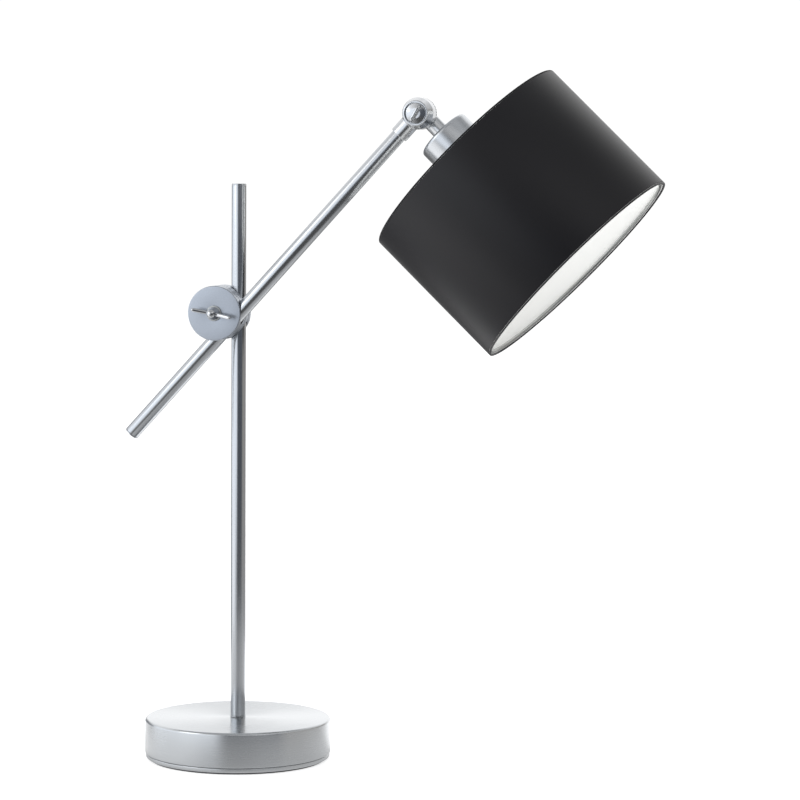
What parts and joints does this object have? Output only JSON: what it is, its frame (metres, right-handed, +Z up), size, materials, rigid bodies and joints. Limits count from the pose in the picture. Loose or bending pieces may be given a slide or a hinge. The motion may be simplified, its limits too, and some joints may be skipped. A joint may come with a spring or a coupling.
{
  "type": "swing arm desk lamp",
  "caption": "Desk lamp: weighted round base and post, serrated disc clamp that carries a sliding and tilting arm, drum shade on a pivoting knuckle.",
  "frame": {"origin": "centre of the foot pad's underside, where the lamp stands on the table", "axes": "+Z up along the post, +X towards the shade, -Y towards the clamp's wing nut"},
  "size_m": [0.4519, 0.2, 0.5807],
  "materials": {
    "satin_nickel": "satin nickel plate",
    "brushed_nickel": "brushed satin nickel",
    "zinc_steel": "bright zinc plate",
    "cast_iron": "as cast",
    "brass": "plain",
    "felt": "felt",
    "nylon": "moulded",
    "bakelite": "moulded",
    "porcelain": "glazed",
    "black_textile": "fine matt laminate",
    "white_lining": "matt white",
    "opal_glass": "opal",
    "aluminium": "plain"
  },
  "bodies": {
    "base": {"foot_pad": "felt", "bottom_pan": "satin_nickel", "base_cover": "brushed_nickel", "base_weight": "cast_iron", "base_nipple": "zinc_steel", "base_washer": "zinc_steel", "base_nut": "zinc_steel", "cord_inlet_bush": "nylon", "post_foot_ring": "satin_nickel", "post_foot_insert": "zinc_steel", "post_tube": "satin_nickel", "post_cap": "satin_nickel"},
    "post_carriage": {"post_liner": "nylon"},
    "clamp_rear": {"clamp_rear_cap": "brushed_nickel", "clamp_rear_serrated_disc": "brushed_nickel", "clamp_rear_washer": "zinc_steel", "clamp_stud": "zinc_steel"},
    "clamp_front": {"clamp_front_serrated_disc": "brushed_nickel", "clamp_front_cap": "brushed_nickel", "clamp_front_washer": "zinc_steel"},
    "wing_nut": {"wing_nut": "satin_nickel"},
    "arm_carriage": {"arm_liner": "nylon"},
    "arm": {"arm_tube": "satin_nickel", "arm_end_cap": "satin_nickel", "knuckle_front_half": "satin_nickel"},
    "thumb_screw": {"thumb_screw": "satin_nickel"},
    "shade_head": {"knuckle_rear_half": "satin_nickel", "knuckle_acorn_nut": "zinc_steel", "holder_cup": "satin_nickel", "holder_lock_nut": "zinc_steel", "lampholder_cap": "bakelite", "lampholder_body": "bakelite", "lampholder_core": "porcelain", "screw_shell": "brass", "centre_contact": "brass", "shade_ring_nut": "bakelite", "bulb_cap": "aluminium", "bulb_glass": "opal_glass", "shade_skin": "black_textile", "shade_lining": "white_lining", "shade_top_trim": "black_textile", "shade_bottom_trim": "black_textile", "shade_top_wire": "zinc_steel", "shade_bottom_wire": "zinc_steel", "shade_spider": "zinc_steel"}
  },
  "joints": [
    {"name": "clamp_height", "type": "slide", "parent": "base", "child": "post_carriage", "axis": [0, 0, 1], "range_m": [-0.18, 0.07]},
    {"name": "clamp_swivel", "type": "hinge", "parent": "post_carriage", "child": "clamp_rear", "pos_m": [0, 0, 0.3781], "axis": [0, 0, 1], "range_deg": [-180, 180]},
    {"name": "arm_tilt", "type": "hinge", "parent": "clamp_rear", "child": "clamp_front", "pos_m": [-0.0145, -0.0159, 0.3781], "axis": [0, -1, 0], "range_deg": [-40, 30]},
    {"name": "wing_nut_turn", "type": "hinge", "parent": "clamp_rear", "child": "wing_nut", "pos_m": [-0.0145, -0.0259, 0.3781], "axis": [0, -1, 0], "range_deg": [0, 180]},
    {"name": "arm_roll", "type": "hinge", "parent": "clamp_front", "child": "arm_carriage", "pos_m": [-0.00381, -0.0159, 0.3683], "axis": [0.6756, 0, 0.7373], "range_deg": [-90, 90]},
    {"name": "arm_slide", "type": "slide", "parent": "arm_carriage", "child": "arm", "axis": [0.6756, 0, 0.7373], "range_m": [-0.06, 0.1]},
    {"name": "thumb_screw_turn", "type": "hinge", "parent": "arm", "child": "thumb_screw", "pos_m": [0.15779, -0.0219, 0.54466], "axis": [0, -1, 0], "range_deg": [0, 180]},
    {"name": "shade_tilt", "type": "hinge", "parent": "arm", "child": "shade_head", "pos_m": [0.15779, -0.00775, 0.54466], "axis": [0, -1, 0], "range_deg": [-15, 100]}
  ]
}
